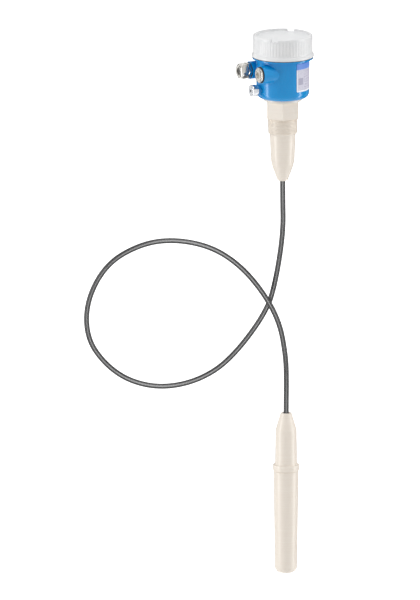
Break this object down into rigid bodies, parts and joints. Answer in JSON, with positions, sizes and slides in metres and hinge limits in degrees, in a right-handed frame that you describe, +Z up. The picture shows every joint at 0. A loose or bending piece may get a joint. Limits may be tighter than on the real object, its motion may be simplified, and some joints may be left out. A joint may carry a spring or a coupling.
{
  "type": "capacitive level switch",
  "caption": "Capacitive level switch: round head with a screw cover and cable gland, a threaded process connection, and a flexible rope probe with a weight.",
  "frame": {"origin": "on the axis of the process thread, in the plane of the hexagon's lower face", "axes": "+Z up along the head and the hanging probe, -Y the pictured front, rope loop in the XZ plane"},
  "size_m": [0.3673, 0.1026, 0.8781],
  "materials": {
    "blue_enamel": "semi-gloss blue powder coat on cast aluminium",
    "cover_plastic": "off-white moulded plastic with a fluted side",
    "cream_plastic": "natural cream plastic, turned",
    "black_rubber": "black sealing rubber",
    "grey_rubber": "pale grey sealing rubber",
    "nickel_plate": "nickel-plated brass",
    "stainless_steel": "stainless steel",
    "rope_sheath": "dark grey insulating sheath over steel strands",
    "potting_resin": "black moulded case filled with resin",
    "terminal_green": "green terminal plastic",
    "name_plate": "thin silver-grey plate with a paler border",
    "control_white": "white control plastic",
    "led_lens": "clear green lens"
  },
  "bodies": {
    "body": {"housing": "blue_enamel", "name_plate": "name_plate", "gland_body": "nickel_plate", "gland_washer": "black_rubber", "gland_seal_insert": "grey_rubber", "blanking_plug": "nickel_plate", "plug_seal": "black_rubber", "earth_clamp": "stainless_steel", "earth_screw": "stainless_steel", "process_connection": "cream_plastic", "probe_sleeve": "cream_plastic", "probe_rope": "rope_sheath", "weight_sleeve": "cream_plastic", "weight_body": "cream_plastic", "neck_seal": "black_rubber", "housing_lock_nut": "nickel_plate", "contact_rod": "stainless_steel", "contact_nut": "nickel_plate", "upper_ferrule": "stainless_steel", "lower_ferrule": "stainless_steel", "weight_core": "stainless_steel", "electronic_insert": "potting_resin", "insert_screws": "stainless_steel", "terminal_block": "terminal_green", "terminal_screws": "stainless_steel", "status_leds": "led_lens", "inner_earth_screw": "stainless_steel"},
    "cover_ring": {"cover_seal": "black_rubber"},
    "cover": {"cover": "cover_plastic"},
    "gland_ring": {"gland_slip_ring": "nickel_plate"},
    "gland_nut": {"gland_nut": "nickel_plate"},
    "trimmer": {"sensitivity_trimmer": "control_white"},
    "switch": {"failsafe_switch": "control_white"}
  },
  "joints": [
    {"name": "cover_turn", "type": "hinge", "parent": "cover_ring", "child": "cover", "pos_m": [0, 0, 0.1], "axis": [0, 0, 1], "range_deg": [0, 1440]},
    {"name": "cover_rise", "type": "slide", "parent": "body", "child": "cover_ring", "axis": [0, 0, 1], "range_m": [0, 0.0121]},
    {"name": "gland_nut_turn", "type": "hinge", "parent": "gland_ring", "child": "gland_nut", "pos_m": [-0.053, -0.00352, 0.077], "axis": [-0.8949, -0.4462, 0], "range_deg": [0, 1080]},
    {"name": "gland_nut_travel", "type": "slide", "parent": "body", "child": "gland_ring", "axis": [-0.8949, -0.4462, 0], "range_m": [0, 0.0046]},
    {"name": "sensitivity_turn", "type": "hinge", "parent": "body", "child": "trimmer", "pos_m": [-0.00628, -0.01654, 0.066], "axis": [0, 0, 1], "range_deg": [-135, 135]},
    {"name": "failsafe_slide", "type": "slide", "parent": "body", "child": "switch", "axis": [-0.4462, 0.8949, 0], "range_m": [0, 0.002]}
  ],
  "couplings": [
    {"joint": "cover_rise", "follows": "cover_turn", "m_per_rad": 0.00047746},
    {"joint": "gland_nut_travel", "follows": "gland_nut_turn", "m_per_rad": 0.00023873}
  ]
}
